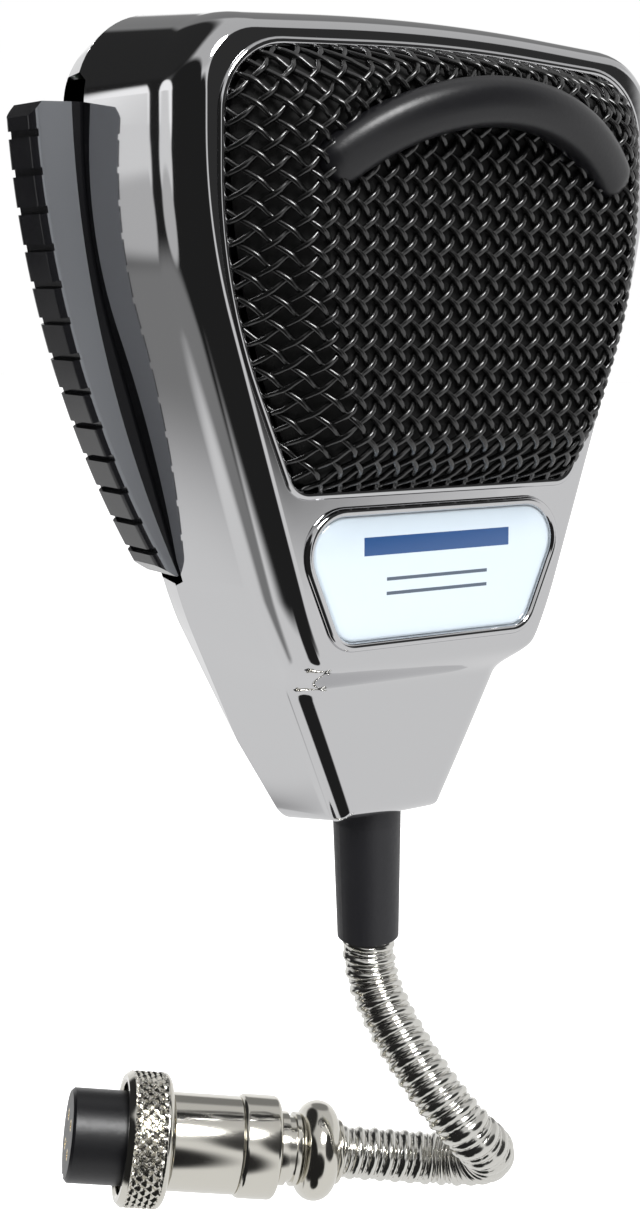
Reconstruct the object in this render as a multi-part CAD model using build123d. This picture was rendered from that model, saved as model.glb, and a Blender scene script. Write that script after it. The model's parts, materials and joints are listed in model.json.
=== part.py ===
"""Hand microphone: a noise-cancelling palm microphone with its armoured cord and screw-on plug.

Millimetres. The microphone hangs upright by the hang-up button on its back, and the origin is the
middle of the button's outer face. In the finished parts +Z is up, towards the microphone's top, -Y is
the way the grille faces, and -X is the side with the push-to-talk lever.

Every part is drawn with the microphone on its back: there +Z is the way the grille faces, +Y runs
towards its top, and "front", "low" and "height" are along Z. save() then stands each part up.
"""
import os
from math import atan2, cos, degrees, pi, radians, sin, tan

from build123d import *

os.makedirs("parts", exist_ok=True)

# ---- housing ----------------------------------------------------------------------------------
BACK_Z = 4.5            # rear face of the rear shell, which is the height of the hang-up button
PART_Z = 12.5           # parting plane between the two shells
FRONT_Z = 36.5          # front face
WALL = 1.9              # die-cast wall
DRAFT = 5.0             # degrees, side walls lean in towards the front
REAR_DRAFT = 14.0       # degrees, the rear shell leans in towards the back
TAIL_Y = -62.0          # lower end, where the cord comes out
TOP_Y = 43.2            # highest point of the crowned top
TAIL_HALF = 9.3         # half widths of the outline at the parting plane
WAIST = (22.6, -33.0)
SHOULDER = (37.7, 14.7)
TOP_CORNER = (37.7, 40.9)
EDGE_ROUND = 1.8        # front edge radius
REAR_ROUND = 3.0
RIDGE_Y = -38.0         # lower end of the front face, above the throat
THROAT_DROP = 4.2       # the throat lies this far below the front face at the ridge
THROAT_FALL = 2.8       # and falls this much further by the tail
REAR_SLOPE_Y = -30.0    # the back rises from here to the tail
REAR_SLOPE_RISE = 12.0
CAVITY_TAIL_Y = -53.0   # the tail is solid below this, apart from the cord's bore

# ---- grille -----------------------------------------------------------------------------------
# Each outline has its lower corner, its side, its top corner and its crown, and a radius for each.
OPENING = ((21.6, -15.8), (31.9, 9.0), (31.9, 36.0), (0.0, 37.6))
OPENING_RADII = (3.2, 92.0, 8.5, 240.0)
PLATEAU = ((17.6, -8.2), (22.9, 9.0), (22.9, 32.4), (0.0, 34.8))
PLATEAU_RADII = (4.0, 45.0, 17.0, 60.0)
DOME_HEIGHT = 8.5
DOME_SECTIONS = ((0.0, 0.0), (0.16, 0.3), (0.72, 0.86), (1.0, 1.0))   # (share of the way in, of the height)
MESH_THICK = 1.0
MESH_GAP = 0.12         # between the mesh and the edge of its opening
FLANGE_WIDTH = 1.0
FLANGE_THICK = 0.8

# ---- lip bar ----------------------------------------------------------------------------------
BAR_END = (20.4, 23.2, 6.9)      # the arch's centreline, measured from the front face in Z
BAR_MIDDLE = (0.0, 30.4, 11.2)
BAR_R = 2.9
PEG_X = 13.0
PEG_R = 1.4

# ---- nameplate --------------------------------------------------------------------------------
LABEL_TOP = (21.2, -18.6)
LABEL_BOTTOM = (14.6, -34.2)
LABEL_RADII = (4.6, 3.0)
BEZEL = 1.0
RECESS = 0.6
BEZEL_PROUD = 0.8
LABEL_PROUD = 0.5

# ---- push-to-talk lever -----------------------------------------------------------------------
LEVER_Z = (6.7, 14.2)
SLOT_Z = (6.2, 14.7)
SLOT_Y = (-29.2, 34.0)
PIVOT = (-20.0, -22.5)
PIVOT_R = 1.5
PIVOT_BOSS_R = 3.2
RUNNING = 0.05          # radial clearance of turning and sliding fits
LEVER_TOP = (-44.4, 28.5)
LEVER_MIDDLE = (-39.0, 0.0)
LEVER_FOOT = (-27.2, -26.5)
GROOVES = 13
GROOVE_WIDTH = 0.9
GROOVE_DEPTH = 0.8
LEVER_TRAVEL = 4.0      # degrees

# ---- switch -----------------------------------------------------------------------------------
SWITCH_X = (-28.6, -19.6)
SWITCH_Y = (9.0, 31.0)
SWITCH_Z = (6.2, 14.6)
PLUNGER_Y = 16.0
PLUNGER_R = 1.8
PLUNGER_TIP_X = -32.8
PLUNGER_Z = 10.4
SPRING_Y = 26.5
SPRING_R = 2.0
SPRING_WIRE = 0.25
SPRING_TURNS = 6

# ---- microphone element -----------------------------------------------------------------------
ELEMENT_Y = 10.0
ELEMENT_R = 16.5
ELEMENT_Z = (20.5, 32.4)
BOOT_R = 19.0
CARRIER_Z = (FRONT_Z - WALL - FLANGE_THICK - 1.6, FRONT_Z - WALL - FLANGE_THICK)

# ---- hang-up button ---------------------------------------------------------------------------
BUTTON_R = 6.5
BUTTON_NECK_R = 3.4
BUTTON_FLANGE = 2.2
BUTTON_SCREW_R = 1.6

# ---- cord and plug ----------------------------------------------------------------------------
CORD_D = 7.0
SLEEVE_Z = 22.8
SLEEVE_R = (4.6, 4.2)
SLEEVE_BORE_R = 4.65
SLEEVE_LENGTH = 17.6
SLEEVE_LEAN = 4.2       # degrees, sideways towards +X
SLEEVE_DIP = 3.2        # degrees, towards the back
CABLE_R = 2.4
CORD_ROUTE = [          # down and forwards, round the fold, and back towards the plug
    (2.3, -89.6, 25.4),
    (3.2, -94.4, 30.2),
    (4.7, -98.6, 34.1),
    (7.4, -103.4, 37.9),
    (12.0, -107.3, 36.5),
    (14.4, -110.9, 31.8),
    (11.8, -112.6, 26.0),
]
CORD_STRAIGHT = (5.2, 7.0)       # the cord leaves the sleeve and enters the plug straight for this far
PLUG_START = (-1.8, -110.3, 19.9)
PLUG_HEADING = 171.3    # degrees from +X, the way the contacts face
PLUG_TILT = -24.1       # degrees, towards the back
COLLAR = (4.4, 0.8)     # radius and length of each stage, from the cord to the contacts
BEAD = (6.8, 5.2)
NECK = (5.0, 3.2)
BACK_NUT = (7.0, 5.4)
BARREL = (6.6, 9.6)
RING = (9.1, 6.5)
INSERT = (6.3, 7.2)
SPIGOT_R = 5.6
SPIGOT_LENGTH = 2.6
RING_WALL = 1.9
RING_THREAD_R = 7.5     # M16 x 1
SET_SCREW_TURN = 100.0  # degrees round the plug from its side
CONTACT_R = 0.8


# ---- helpers ----------------------------------------------------------------------------------
def outline(half_points, radii):
    """A face symmetric about the Y axis. The points run up its right side, and each has a radius."""
    left = [(-x, y) for x, y in reversed(half_points) if x > 0]
    right_radii = list(radii)
    left_radii = [r for (x, _), r in zip(reversed(half_points), reversed(radii)) if x > 0]
    return make_face(FilletPolyline(*half_points, *left, radius=right_radii + left_radii, close=True))


def slab(face, low, high):
    """The face raised from one height to another."""
    return extrude(Pos(0, 0, low) * face, amount=high - low, dir=(0, 0, 1))


def drafted(face, start, end, draft):
    """A solid that stands on the face at one height and leans in by the draft angle towards another."""
    lean = abs(end - start) * tan(radians(draft))
    return loft([Pos(0, 0, start) * face, Pos(0, 0, end) * offset(face, amount=-lean).face()], ruled=True)


def disc(x, y, low, high, radius):
    return Pos(x, y, (low + high) / 2) * Cylinder(radius, high - low)


def block(x, y, z):
    """A box between two limits on each axis."""
    size = [high - low for low, high in (x, y, z)]
    middle = [(high + low) / 2 for low, high in (x, y, z)]
    return Pos(*middle) * Box(*size)


def side_prism(points, half_width):
    """A prism across the microphone, from (y, z) points."""
    face = make_face(Plane.YZ * Polyline(*points, close=True))
    return extrude(face, amount=half_width, both=True)


def save(name, shape):
    """Stands the part up, so that the top of the microphone is upwards, and writes it."""
    pieces = shape if isinstance(shape, (list, tuple)) else [shape]
    upright = [Rot(90, 0, 0) * piece for piece in pieces]
    export_step(upright[0] if len(upright) == 1 else Compound(children=upright), f"parts/{name}.step")


# ---- outlines ---------------------------------------------------------------------------------
def body_face():
    points = [(TAIL_HALF, TAIL_Y), WAIST, SHOULDER, TOP_CORNER, (0, TOP_Y)]
    return outline(points, [3.0, 60.0, 85.0, 11.0, 400.0])


def inner_body_face():
    return offset(body_face(), amount=-WALL).face()


def dome_face(way_in, shrink=0.0):
    """An outline between the opening (0) and the plateau (1), drawn in a little more by shrink."""
    points = []
    for low, high in zip(OPENING, PLATEAU):
        points.append(tuple(a + way_in * (b - a) for a, b in zip(low, high)))
    radii = [a + way_in * (b - a) for a, b in zip(OPENING_RADII, PLATEAU_RADII)]
    face = outline(points, radii)
    return offset(face, amount=-shrink).face() if shrink else face


def label_face(grow=0.0):
    bottom = (LABEL_BOTTOM[0] + grow * 0.75, LABEL_BOTTOM[1] - grow)
    top = (LABEL_TOP[0] + grow * 1.3, LABEL_TOP[1] + grow)
    return outline([bottom, top], [LABEL_RADII[1] + grow, LABEL_RADII[0] + grow])


# ---- housing ----------------------------------------------------------------------------------
def throat_cut(shift=0.0):
    """What the throat lacks in front of it. A shift gives the same cut inside the wall."""
    ridge = FRONT_Z - THROAT_DROP - shift
    points = [
        (RIDGE_Y + 0.8 + shift, FRONT_Z + 5),
        (RIDGE_Y + shift * 0.8, FRONT_Z - 0.6 - shift),
        (RIDGE_Y - 2.2 + shift, ridge),
        (TAIL_Y - 5, ridge - THROAT_FALL),
        (TAIL_Y - 5, FRONT_Z + 5),
    ]
    return side_prism(points, 60)


def rear_cut(shift=0.0):
    """What the sloping back lacks behind it."""
    rise_y = TAIL_Y - 1
    slope = REAR_SLOPE_RISE / (REAR_SLOPE_Y - TAIL_Y)
    top = BACK_Z + slope * (REAR_SLOPE_Y - rise_y) + shift
    return side_prism([(REAR_SLOPE_Y, BACK_Z + shift), (rise_y, top), (rise_y, -20), (REAR_SLOPE_Y, -20)], 60)


def lever_slot():
    return block((-60, -15), SLOT_Y, SLOT_Z)


CASE_SCREWS = [(-22.0, 38.2), (22.0, 38.2), (-10.8, -41.5), (10.8, -41.5)]
CARRIER_SCREWS = [(-14.0, -19.4), (14.0, -19.4)]


def back_height(y):
    """Height of the outside of the back at y."""
    slope = REAR_SLOPE_RISE / (REAR_SLOPE_Y - TAIL_Y)
    return BACK_Z + max(0.0, (REAR_SLOPE_Y - y) * slope)


def front_shell():
    outer = drafted(body_face(), PART_Z, FRONT_Z, DRAFT)
    top_edges = outer.faces().sort_by(Axis.Z)[-1].edges()
    outer = fillet(top_edges, EDGE_ROUND)
    outer = outer - throat_cut() - rear_cut()
    hollow = drafted(inner_body_face(), PART_Z - 0.1, FRONT_Z - WALL, DRAFT)
    hollow = hollow - throat_cut(WALL) - rear_cut(WALL)
    hollow -= block((-60, 60), (TAIL_Y - 5, CAVITY_TAIL_Y), (-5, 60))
    shell = outer - hollow
    shell -= slab(dome_face(0.0), FRONT_Z - WALL - 1, FRONT_Z + 1)
    shell -= slab(label_face(BEZEL), FRONT_Z - RECESS, FRONT_Z + 1)
    posts = [disc(x, y, PART_Z, FRONT_Z - 6, 3.0) for x, y in CASE_SCREWS[:2]]
    posts += [disc(x, y, PART_Z, FRONT_Z - THROAT_DROP - 1, 3.0) for x, y in CASE_SCREWS[2:]]
    for post in posts:
        shell += post & outer
    for x, y in CASE_SCREWS:
        shell -= disc(x, y, PART_Z - 1, PART_Z + 9, 1.2)
    for x, y in CARRIER_SCREWS:
        shell += disc(x, y, CARRIER_Z[1], FRONT_Z - WALL + 0.2, 2.6)
        shell -= disc(x, y, CARRIER_Z[1] - 1, FRONT_Z - 0.9, 0.9)
    shell += disc(*PIVOT, LEVER_Z[1] + 0.9, FRONT_Z - WALL + 0.2, PIVOT_BOSS_R)
    shell -= disc(*PIVOT, LEVER_Z[1], LEVER_Z[1] + 5.0, PIVOT_R)
    shell -= lever_slot() - disc(*PIVOT, LEVER_Z[1] + 0.9, SLOT_Z[1] + 1, PIVOT_BOSS_R)
    shell -= Pos(0, (TAIL_Y + CAVITY_TAIL_Y) / 2, SLEEVE_Z) * Rot(90, 0, 0) * Cylinder(SLEEVE_BORE_R, 14)
    return shell


def rear_shell():
    outer = drafted(body_face(), PART_Z, BACK_Z, REAR_DRAFT)
    back_edges = outer.faces().sort_by(Axis.Z)[0].edges()
    outer = fillet(back_edges, REAR_ROUND)
    outer -= rear_cut()
    hollow = drafted(inner_body_face(), PART_Z + 0.1, BACK_Z + WALL, REAR_DRAFT)
    hollow -= rear_cut(WALL)
    shell = outer - hollow
    for x, y in CASE_SCREWS:
        shell += disc(x, y, back_height(y) + 0.3, PART_Z, 3.2) & outer
    shell += disc(*PIVOT, BACK_Z + 0.5, LEVER_Z[0] - 0.3, PIVOT_BOSS_R)
    for x, y in BOARD_POSTS:
        shell += disc(x, y, BACK_Z + 0.5, BOARD_Z[0], 2.2)
        shell -= disc(x, y, BACK_Z + 1.2, BOARD_Z[0] + 1, 0.8)
    shell -= lever_slot() - disc(*PIVOT, 0, LEVER_Z[0] - 0.3, PIVOT_BOSS_R)
    shell -= disc(*PIVOT, BACK_Z + 0.9, LEVER_Z[0] + 1, PIVOT_R)
    for x, y in CASE_SCREWS:
        shell -= disc(x, y, BACK_Z - 1, PART_Z + 1, 1.5)
        shell -= disc(x, y, BACK_Z - 1, back_height(y) + SCREW_SINK, 3.0)
    shell -= disc(0, 0, BACK_Z - 1, BACK_Z + WALL + 1, BUTTON_SCREW_R + 0.2)
    return shell


SCREW_SINK = 2.4
BOARD_Z = (9.0, 10.4)
BOARD_POSTS = [(-11.0, -14.5), (11.0, -14.5)]


def pan_screw(x, y, head_z, length, radius=1.2, head_r=2.5, head_h=1.7, up=True):
    """A cross-head screw along Z. Its head's underside is at head_z, and its shank points up or down."""
    way = 1 if up else -1
    head = Pos(x, y, head_z - way * head_h / 2) * Cylinder(head_r, head_h)
    head = fillet(head.edges().filter_by(GeomType.CIRCLE).sort_by(Axis.Z)[0 if up else -1], head_h * 0.45)
    shank = Pos(x, y, head_z + way * length / 2) * Cylinder(radius, length)
    outer_z = head_z - way * head_h
    cross = Pos(x, y, outer_z) * (Box(head_r * 1.1, 0.5, 1.4) + Box(0.5, head_r * 1.1, 1.4))
    return head + shank - cross


def case_screws():
    screws = []
    for x, y in CASE_SCREWS:
        seat = back_height(y) + SCREW_SINK
        screws.append(pan_screw(x, y, seat, PART_Z + 6.5 - seat))
    return screws


# ---- grille -----------------------------------------------------------------------------------
def dome(shrink, drop):
    """The grille's domed form as a solid, drawn in and lowered."""
    low = FRONT_Z - WALL - FLANGE_THICK
    sections = [Pos(0, 0, low) * dome_face(0.0, shrink + 0.01)]
    for way_in, share in DOME_SECTIONS:
        sections.append(Pos(0, 0, FRONT_Z + share * DOME_HEIGHT - drop) * dome_face(way_in, shrink))
    return loft(sections, ruled=True)


DOME_Z = FRONT_Z + DOME_HEIGHT


def bar_arch():
    ends = [Vector(side * BAR_END[0], BAR_END[1], FRONT_Z + BAR_END[2]) for side in (-1, 1)]
    return ThreePointArc(ends[0], Vector(*BAR_MIDDLE) + Vector(0, 0, FRONT_Z), ends[1])


PEG_Y = BAR_MIDDLE[1] - 3.0
PEGS = [(-PEG_X, PEG_Y), (PEG_X, PEG_Y)]


def grille_mesh():
    shell = dome(MESH_GAP, 0.0) - dome(MESH_GAP + MESH_THICK * 0.8, MESH_THICK)
    low, high = FRONT_Z - WALL - FLANGE_THICK, FRONT_Z - WALL
    flange = slab(dome_face(0.0, -FLANGE_WIDTH), low, high)
    shell += flange - slab(dome_face(0.0, MESH_GAP + MESH_THICK * 0.8), low - 1, high + 1)
    for x, y in PEGS:
        shell -= disc(x, y, DOME_Z - 3, DOME_Z + 1, PEG_R)
    return shell


def grille_liner():
    """Thin foam against the inside of the mesh."""
    inside = dome(MESH_GAP + MESH_THICK * 0.8, MESH_THICK)
    liner = Pos(0, 0, -0.05) * inside - Pos(0, 0, -1.2) * inside
    liner &= block((-60, 60), (-60, 60), (FRONT_Z - 0.4, 60))
    for x, y in PEGS:
        liner -= disc(x, y, DOME_Z - 4, DOME_Z + 1, 3.4)
    return liner


def lip_bar():
    arch = bar_arch()
    bar = sweep(Plane(arch @ 0, z_dir=arch % 0) * Circle(BAR_R), path=arch)
    for end in (arch @ 0, arch @ 1):
        bar += Pos(end) * Sphere(BAR_R)
    bar -= dome(MESH_GAP, 0.0)
    for x, y in PEGS:
        bar += disc(x, y, DOME_Z - 2.2, DOME_Z + 1, PEG_R)
    return bar


def lip_bar_clips():
    low, high = DOME_Z - MESH_THICK - 0.8, DOME_Z - MESH_THICK
    return [disc(x, y, low, high, 3.0) - disc(x, y, low - 1, high + 1, PEG_R) for x, y in PEGS]


def element_carrier():
    plate = slab(dome_face(0.0, -FLANGE_WIDTH + 0.2), *CARRIER_Z)
    for x, y in CARRIER_SCREWS:
        plate += disc(x, y, *CARRIER_Z, 3.0)
        plate += block((x - 3, x + 3), (y, OPENING[0][1] + 1), CARRIER_Z)
    plate -= disc(0, ELEMENT_Y, CARRIER_Z[0] - 1, CARRIER_Z[1] + 1, BOOT_R)
    for side in (-1, 1):
        plate -= Pos(side * 25.3, ELEMENT_Y, CARRIER_Z[0]) * Box(5, 20, 8)
        plate -= Pos(side * 19.5, 30.5, CARRIER_Z[0]) * Box(11, 5, 8)
        plate -= Pos(side * 17.5, -10.2, CARRIER_Z[0]) * Box(9, 4, 8)
    for x, y in CARRIER_SCREWS:
        plate -= disc(x, y, CARRIER_Z[0] - 1, CARRIER_Z[1] + 1, 1.1)
    return plate


def carrier_screws():
    return [pan_screw(x, y, CARRIER_Z[0], 3.0, 0.85, 2.0, 1.3) for x, y in CARRIER_SCREWS]


def element_boot():
    tube = disc(0, ELEMENT_Y, ELEMENT_Z[0] + 1.5, ELEMENT_Z[1] + 1.8, BOOT_R)
    lip = disc(0, ELEMENT_Y, CARRIER_Z[0] - 1.8, CARRIER_Z[0], BOOT_R + 2.2)
    bore = disc(0, ELEMENT_Y, 0, 60, ELEMENT_R)
    return tube + lip - bore


def microphone_element():
    can = disc(0, ELEMENT_Y, *ELEMENT_Z, ELEMENT_R)
    can = chamfer(can.edges().sort_by(Axis.Z)[-1], 0.8)
    ports = [(0, 0)] + [(9 * cos(k * pi / 3), 9 * sin(k * pi / 3)) for k in range(6)]
    for x, y in ports:
        can -= disc(x, ELEMENT_Y + y, ELEMENT_Z[1] - 1.2, ELEMENT_Z[1] + 1, 1.6)
    for x, y in ports[1:4]:
        can -= disc(x, ELEMENT_Y + y, ELEMENT_Z[0] - 1, ELEMENT_Z[0] + 1.2, 1.2)
    for x in (-4, 4):
        can += Pos(x, ELEMENT_Y - 9, ELEMENT_Z[0] - 0.7) * Box(2.2, 3.2, 1.6)
    return can


# ---- nameplate --------------------------------------------------------------------------------
def nameplate_bezel():
    low, high = FRONT_Z - RECESS, FRONT_Z + BEZEL_PROUD
    return drafted(label_face(BEZEL - 0.05), low, high, 12) - slab(label_face(), low - 1, high + 1)


def nameplate_label():
    return drafted(label_face(-0.03), FRONT_Z - RECESS, FRONT_Z + LABEL_PROUD, 8)


# ---- lever ------------------------------------------------------------------------------------
def lever_edge():
    return ThreePointArc(LEVER_TOP, LEVER_MIDDLE, LEVER_FOOT)


def ptt_lever():
    back = Polyline(
        LEVER_FOOT, (-24.6, -28.0), (-17.6, -25.2), (-17.2, -19.8), (-23.0, -9.0), (-28.6, 0.0),
        (-33.0, 9.0), (-33.4, 30.6), (-43.0, 30.2), LEVER_TOP,
    )
    lever = slab(make_face(lever_edge() + back), *LEVER_Z)
    outer_edges = lever.edges().filter_by(GeomType.CIRCLE)
    lever = fillet(outer_edges, 1.1)
    edge = lever_edge()
    for k in range(GROOVES):
        t = 0.035 + k * 0.93 / (GROOVES - 1)
        heading = edge % t
        cutter = Rot(0, 0, degrees(atan2(heading.Y, heading.X))) * Box(GROOVE_WIDTH, 2 * GROOVE_DEPTH, 20)
        place = edge @ t
        lever -= Pos(place.X, place.Y, 10) * cutter
    for x, y in ((-36.0, 20.0), (-34.6, 8.0)):
        lever -= Pos(x - 1.6, y, LEVER_Z[0]) * Box(5.0, 8.0, 6.0)
    lever -= disc(*PIVOT, 0, 30, PIVOT_R + RUNNING)
    return lever


def pivot_pin():
    return disc(*PIVOT, BACK_Z + 1.0, LEVER_Z[1] + 4.8, PIVOT_R)


# ---- switch -----------------------------------------------------------------------------------
def along_x(y, z, low, high, radius):
    return Pos((low + high) / 2, y, z) * Rot(0, 90, 0) * Cylinder(radius, high - low)


def switch_housing():
    body = block(SWITCH_X, SWITCH_Y, SWITCH_Z)
    body -= along_x(PLUNGER_Y, PLUNGER_Z, SWITCH_X[0] - 1, SWITCH_X[0] + 2.0, PLUNGER_R + RUNNING)
    body -= block((SWITCH_X[0] + 1.6, SWITCH_X[1] - 1.2), (10.4, 22.4), (SWITCH_Z[0] + 1.2, SWITCH_Z[1] + 1))
    body -= along_x(SPRING_Y, PLUNGER_Z, SWITCH_X[0] - 1, SWITCH_X[0] + 4.2, SPRING_R + 0.5)
    for leaf in switch_contacts():
        body -= leaf
    return body


def switch_cover():
    return block(SWITCH_X, (SWITCH_Y[0], 23.8), (SWITCH_Z[1], SWITCH_Z[1] + 0.9))


def switch_plunger():
    stem = along_x(PLUNGER_Y, PLUNGER_Z, PLUNGER_TIP_X, SWITCH_X[0] + 1.9, PLUNGER_R)
    stem = fillet(stem.edges().sort_by(Axis.X)[0], 0.9)
    shoe = block((SWITCH_X[0] + 1.8, SWITCH_X[0] + 2.8), (11.4, 21.0), (PLUNGER_Z - 2.2, PLUNGER_Z + 2.4))
    return stem + shoe


def switch_contacts():
    leaves = []
    for y in (12.0, 14.6, 17.2, 19.8):
        width = (y - 0.8, y + 0.8)
        floor = SWITCH_Z[0] + 1.2
        leaf = block((SWITCH_X[1] - 2.4, SWITCH_X[1] - 2.1), width, (floor, PLUNGER_Z + 2.6))
        tail = block((SWITCH_X[1] - 2.4, SWITCH_X[1] + 1.8), width, (floor, floor + 0.3))
        leaves.append(leaf + tail)
    return leaves


def return_spring():
    length = SWITCH_X[0] + 4.1 + 33.35
    coiled = length - 2 * SPRING_WIRE
    path = Helix(pitch=coiled / SPRING_TURNS, height=coiled, radius=SPRING_R)
    coil = sweep(Plane(path @ 0, z_dir=path % 0) * Circle(SPRING_WIRE), path=path, is_frenet=True)
    return Pos(-33.3 + SPRING_WIRE, SPRING_Y, PLUNGER_Z) * Rot(0, 90, 0) * coil


# ---- terminal board and wiring ----------------------------------------------------------------
def terminal_board():
    board = block((-15, 15), (-22, -7.8), BOARD_Z)
    for x, y in BOARD_POSTS:
        board -= disc(x, y, 0, 30, 1.1)
    return board


def board_screws():
    return [pan_screw(x, y, BOARD_Z[1], 4.0, 0.8, 1.8, 1.2, up=False) for x, y in BOARD_POSTS]


TERMINALS = [(-6.0, -20.0), (-3.0, -20.0), (0.0, -20.0), (3.0, -20.0), (6.0, -20.0)]


def board_terminals():
    return [disc(x, y, BOARD_Z[1], BOARD_Z[1] + 2.2, 0.7) for x, y in TERMINALS]


def tube(points, radius, bend):
    path = FilletPolyline(*points, radius=bend)
    return sweep(Plane(path @ 0, z_dir=path % 0) * Circle(radius), path=path)


def inner_cable():
    """The cord's own cable, from the sleeve to where its wires part."""
    return Pos(0, -48.2, SLEEVE_Z) * Rot(90, 0, 0) * Cylinder(CABLE_R, 12.0)


def cord_wires():
    wires = []
    for k, (x, y) in enumerate(TERMINALS):
        start = (x * 0.22, -42.1, SLEEVE_Z - 0.9 * abs(k - 2) / 2)
        over = BOARD_Z[1] + 2.2
        wires.append(tube([start, (x * 0.4, -35.0, SLEEVE_Z - 1), (x, y, over + 6), (x, y, over)], 0.45, 2.0))
    return wires


def element_wires():
    top = ELEMENT_Z[0] - 1.5
    wires = []
    for x in (-4.0, 4.0):
        y = ELEMENT_Y - 9
        points = [(x, y, top), (x, y, top - 4.5), (x * 1.5, -8.5, 15.0), (x * 1.5, -8.5, BOARD_Z[1])]
        wires.append(tube(points, 0.45, 1.8))
    return wires


def switch_wires():
    wires = []
    for k, y in enumerate((12.0, 17.2)):
        z = SWITCH_Z[0] + 1.35
        x = SWITCH_X[1] + 1.8
        end_x = -12 + 3 * k
        points = [(x, y, z), (x + 3, y, z), (x + 7 - 2 * k, -2.0, z + 1)]
        points += [(end_x, -8.6, 14.5), (end_x, -8.6, BOARD_Z[1])]
        wires.append(tube(points, 0.45, 1.2))
    return wires


def cable_clamp():
    """A saddle over the cable, held by the lower case screw's post."""
    saddle = Pos(0, -46.8, SLEEVE_Z) * Rot(90, 0, 0) * Cylinder(CABLE_R + 1.4, 3.0)
    saddle -= Pos(0, -46.8, SLEEVE_Z) * Rot(90, 0, 0) * Cylinder(CABLE_R, 5.0)
    return saddle


# ---- hang-up button ---------------------------------------------------------------------------
def hang_up_button():
    button = disc(0, 0, 0, BUTTON_FLANGE, BUTTON_R) + disc(0, 0, BUTTON_FLANGE - 0.1, BACK_Z, BUTTON_NECK_R)
    rims = button.edges().filter_by(GeomType.CIRCLE).filter_by(lambda e: e.radius > BUTTON_R - 0.1)
    button = fillet(rims, 0.8)
    return button - disc(0, 0, 1.4, BACK_Z + 1, BUTTON_SCREW_R)


def button_washer():
    return disc(0, 0, BACK_Z + WALL, BACK_Z + WALL + 0.6, 4.0) - disc(0, 0, 0, 20, BUTTON_SCREW_R + 0.2)


def button_screw():
    head_z = BACK_Z + WALL + 0.6
    return pan_screw(0, 0, head_z, head_z - 1.5, BUTTON_SCREW_R, 3.2, 2.0, up=False)


# ---- sleeve, cord and plug --------------------------------------------------------------------
def cord_sleeve():
    root = Plane(SLEEVE_START, z_dir=SLEEVE_WAY) * Circle(SLEEVE_R[0])
    tip = Plane(SLEEVE_END, z_dir=SLEEVE_WAY) * Circle(SLEEVE_R[1])
    outside = loft([root, tip])
    outside &= block((-20, 20), (-100, TAIL_Y), (0, 60))
    inside = Pos(0, (TAIL_Y + CAVITY_TAIL_Y) / 2, SLEEVE_Z) * Rot(90, 0, 0)
    inside *= Cylinder(SLEEVE_R[0], CAVITY_TAIL_Y - TAIL_Y)
    flange = Pos(0, CAVITY_TAIL_Y + 0.6, SLEEVE_Z) * Rot(90, 0, 0) * Cylinder(5.2, 1.2)
    bore = Pos(0, CAVITY_TAIL_Y, SLEEVE_Z) * Rot(90, 0, 0) * Cylinder(CABLE_R, 2.4)
    return outside + inside + flange - bore


PLUG_WAY = Vector(
    cos(radians(PLUG_TILT)) * cos(radians(PLUG_HEADING)),
    cos(radians(PLUG_TILT)) * sin(radians(PLUG_HEADING)),
    sin(radians(PLUG_TILT)),
)
SLEEVE_WAY = Vector(0, -1, 0).rotate(Axis.X, SLEEVE_DIP).rotate(Axis.Z, SLEEVE_LEAN)
SLEEVE_START = Vector(0, TAIL_Y + 1.0, SLEEVE_Z)
SLEEVE_END = SLEEVE_START + SLEEVE_WAY * SLEEVE_LENGTH
CORD_POINTS = [tuple(SLEEVE_END), tuple(SLEEVE_END + SLEEVE_WAY * CORD_STRAIGHT[0])]
CORD_POINTS += CORD_ROUTE
CORD_POINTS += [tuple(Vector(*PLUG_START) - PLUG_WAY * CORD_STRAIGHT[1]), PLUG_START]


def corner_radii(points):
    """The largest arc that each corner's two runs allow."""
    radii = []
    for before, corner, after in zip(points, points[1:], points[2:]):
        run_in = Vector(*corner) - Vector(*before)
        run_out = Vector(*after) - Vector(*corner)
        half_turn = radians(run_in.get_angle(run_out)) / 2
        radii.append(0.45 * min(run_in.length, run_out.length) / tan(half_turn))
    return radii


def armoured_cord():
    radii = corner_radii(CORD_POINTS)
    path = FilletPolyline(*CORD_POINTS, radius=radii)
    cord = sweep(Plane(path @ 0, z_dir=path % 0) * Circle(CORD_D / 2), path=path)
    print("cord radii", [round(r, 1) for r in radii], "length", round(path.length, 1))
    section = pi * (CORD_D / 2) ** 2
    print("cord volume", round(cord.volume, 1), "section x length", round(section * path.length, 1))
    return cord


def plug_frame(distance):
    """A plane across the plug, this far from its cord end towards its contacts."""
    side = Vector(-sin(radians(PLUG_HEADING)), cos(radians(PLUG_HEADING)), 0)
    return Plane(Vector(*PLUG_START) + PLUG_WAY * distance, x_dir=side, z_dir=PLUG_WAY)


def stage(start, radius, length, hole=0.0):
    solid = extrude(plug_frame(start) * Circle(radius), amount=length)
    if hole:
        solid -= extrude(plug_frame(start - 1) * Circle(hole), amount=length + 2)
    return solid


BEAD_START = COLLAR[1]
NECK_START = BEAD_START + BEAD[1]
BACK_NUT_START = NECK_START + NECK[1]
BARREL_START = BACK_NUT_START + BACK_NUT[1]
RING_START = BARREL_START + BARREL[1]
INSERT_END = RING_START + RING[1] + INSERT[1]


def plug_collar():
    return stage(0, *COLLAR, hole=CABLE_R)


def plug_bead():
    bead = stage(BEAD_START, *BEAD)
    bead = fillet(bead.edges().filter_by(GeomType.CIRCLE), 2.5)
    return bead - stage(0, CABLE_R, 20)


def plug_back_nut():
    neck = stage(NECK_START, *NECK)
    nut = stage(BACK_NUT_START, *BACK_NUT)
    nut = chamfer(nut.edges().filter_by(GeomType.CIRCLE), 0.5)
    return neck + nut - stage(0, CABLE_R, 40)


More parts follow.
